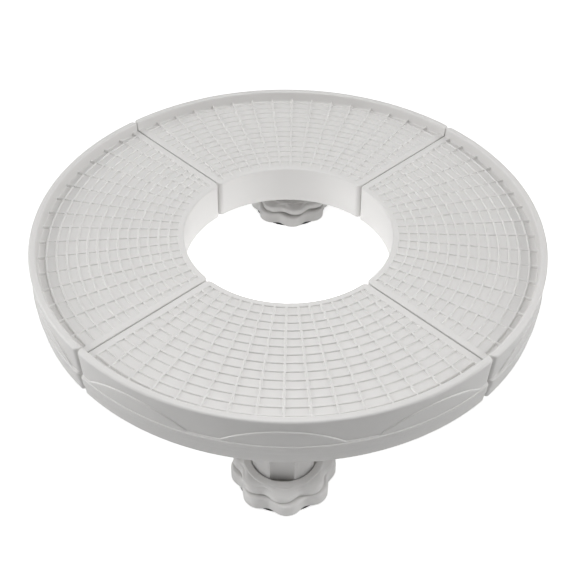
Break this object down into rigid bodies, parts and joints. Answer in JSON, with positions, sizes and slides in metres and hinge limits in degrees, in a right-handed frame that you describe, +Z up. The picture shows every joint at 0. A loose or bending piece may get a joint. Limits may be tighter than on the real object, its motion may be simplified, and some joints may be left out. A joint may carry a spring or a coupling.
{
  "type": "parasol base",
  "caption": "Low ring stand in quarter trays with ribbed decks, which slide apart on tubes, on levelling feet with lobed hand knobs and lock rings round an open middle.",
  "frame": {"origin": "on the floor under the middle of the ring, with the feet wound right in", "axes": "+Z up; the front tray faces -Y and the right tray +X"},
  "size_m": [0.452, 0.452, 0.12],
  "materials": {
    "plastic": "pale warm grey, fine satin texture",
    "rubber": "black, matt",
    "steel": "bright, drawn along its length",
    "acetal": "natural, smooth"
  },
  "bodies": {
    "tray_front": {"tray_front": "plastic", "leg_column_front": "plastic", "tube_front_right_inner": "steel", "tube_screw_front_right_inner": "steel", "tube_front_right_outer": "steel", "tube_screw_front_right_outer": "steel", "tube_front_left_inner": "steel", "tube_screw_front_left_inner": "steel", "tube_front_left_outer": "steel", "tube_screw_front_left_outer": "steel"},
    "pad_front": {"foot_pad_front": "rubber"},
    "knob_front": {"foot_knob_front": "plastic", "leg_screw_front": "plastic", "swivel_screw_front": "steel"},
    "washer_front": {"thrust_washer_front": "acetal"},
    "lock_ring_front": {"lock_ring_front": "plastic"},
    "tray_right": {"tray_right": "plastic", "leg_column_right": "plastic"},
    "pad_right": {"foot_pad_right": "rubber"},
    "knob_right": {"foot_knob_right": "plastic", "leg_screw_right": "plastic", "swivel_screw_right": "steel"},
    "washer_right": {"thrust_washer_right": "acetal"},
    "lock_ring_right": {"lock_ring_right": "plastic"},
    "tray_back": {"tray_back": "plastic", "leg_column_back": "plastic", "tube_back_right_inner": "steel", "tube_screw_back_right_inner": "steel", "tube_back_right_outer": "steel", "tube_screw_back_right_outer": "steel", "tube_back_left_inner": "steel", "tube_screw_back_left_inner": "steel", "tube_back_left_outer": "steel", "tube_screw_back_left_outer": "steel"},
    "pad_back": {"foot_pad_back": "rubber"},
    "knob_back": {"foot_knob_back": "plastic", "leg_screw_back": "plastic", "swivel_screw_back": "steel"},
    "washer_back": {"thrust_washer_back": "acetal"},
    "lock_ring_back": {"lock_ring_back": "plastic"},
    "tray_left": {"tray_left": "plastic", "leg_column_left": "plastic"},
    "pad_left": {"foot_pad_left": "rubber"},
    "knob_left": {"foot_knob_left": "plastic", "leg_screw_left": "plastic", "swivel_screw_left": "steel"},
    "washer_left": {"thrust_washer_left": "acetal"},
    "lock_ring_left": {"lock_ring_left": "plastic"}
  },
  "joints": [
    {"name": "spread_right", "type": "slide", "parent": "tray_front", "child": "tray_right", "axis": [0.7071, 0.7071, 0], "range_m": [0, 0.06]},
    {"name": "spread_left", "type": "slide", "parent": "tray_front", "child": "tray_left", "axis": [-0.7071, 0.7071, 0], "range_m": [0, 0.06]},
    {"name": "spread_back", "type": "slide", "parent": "tray_right", "child": "tray_back", "axis": [-0.7071, 0.7071, 0], "range_m": [0, 0.06]},
    {"name": "lift_front", "type": "slide", "parent": "tray_front", "child": "pad_front", "axis": [0, 0, -1], "range_m": [0, 0.03]},
    {"name": "knob_turn_front", "type": "hinge", "parent": "pad_front", "child": "knob_front", "pos_m": [0, -0.1813, 0.0086], "axis": [0, 0, -1], "range_deg": [0, 2160]},
    {"name": "unlock_front", "type": "slide", "parent": "tray_front", "child": "washer_front", "axis": [0, 0, -1], "range_m": [0, 0.0015]},
    {"name": "lock_turn_front", "type": "hinge", "parent": "washer_front", "child": "lock_ring_front", "pos_m": [0, -0.1813, 0.0208], "axis": [0, 0, -1], "range_deg": [0, 108]},
    {"name": "lift_right", "type": "slide", "parent": "tray_right", "child": "pad_right", "axis": [0, 0, -1], "range_m": [0, 0.03]},
    {"name": "knob_turn_right", "type": "hinge", "parent": "pad_right", "child": "knob_right", "pos_m": [0.1813, 0, 0.0086], "axis": [0, 0, -1], "range_deg": [0, 2160]},
    {"name": "unlock_right", "type": "slide", "parent": "tray_right", "child": "washer_right", "axis": [0, 0, -1], "range_m": [0, 0.0015]},
    {"name": "lock_turn_right", "type": "hinge", "parent": "washer_right", "child": "lock_ring_right", "pos_m": [0.1813, 0, 0.0208], "axis": [0, 0, -1], "range_deg": [0, 108]},
    {"name": "lift_back", "type": "slide", "parent": "tray_back", "child": "pad_back", "axis": [0, 0, -1], "range_m": [0, 0.03]},
    {"name": "knob_turn_back", "type": "hinge", "parent": "pad_back", "child": "knob_back", "pos_m": [0, 0.1813, 0.0086], "axis": [0, 0, -1], "range_deg": [0, 2160]},
    {"name": "unlock_back", "type": "slide", "parent": "tray_back", "child": "washer_back", "axis": [0, 0, -1], "range_m": [0, 0.0015]},
    {"name": "lock_turn_back", "type": "hinge", "parent": "washer_back", "child": "lock_ring_back", "pos_m": [0, 0.1813, 0.0208], "axis": [0, 0, -1], "range_deg": [0, 108]},
    {"name": "lift_left", "type": "slide", "parent": "tray_left", "child": "pad_left", "axis": [0, 0, -1], "range_m": [0, 0.03]},
    {"name": "knob_turn_left", "type": "hinge", "parent": "pad_left", "child": "knob_left", "pos_m": [-0.1813, 0, 0.0086], "axis": [0, 0, -1], "range_deg": [0, 2160]},
    {"name": "unlock_left", "type": "slide", "parent": "tray_left", "child": "washer_left", "axis": [0, 0, -1], "range_m": [0, 0.0015]},
    {"name": "lock_turn_left", "type": "hinge", "parent": "washer_left", "child": "lock_ring_left", "pos_m": [-0.1813, 0, 0.0208], "axis": [0, 0, -1], "range_deg": [0, 108]}
  ],
  "couplings": [
    {"joint": "spread_left", "follows": "spread_right", "ratio": 1},
    {"joint": "spread_back", "follows": "spread_right", "ratio": 1},
    {"joint": "lift_front", "follows": "knob_turn_front", "m_per_rad": 0.00079577},
    {"joint": "unlock_front", "follows": "lock_turn_front", "m_per_rad": 0.00079577},
    {"joint": "lift_right", "follows": "knob_turn_right", "m_per_rad": 0.00079577},
    {"joint": "unlock_right", "follows": "lock_turn_right", "m_per_rad": 0.00079577},
    {"joint": "lift_back", "follows": "knob_turn_back", "m_per_rad": 0.00079577},
    {"joint": "unlock_back", "follows": "lock_turn_back", "m_per_rad": 0.00079577},
    {"joint": "lift_left", "follows": "knob_turn_left", "m_per_rad": 0.00079577},
    {"joint": "unlock_left", "follows": "lock_turn_left", "m_per_rad": 0.00079577}
  ]
}
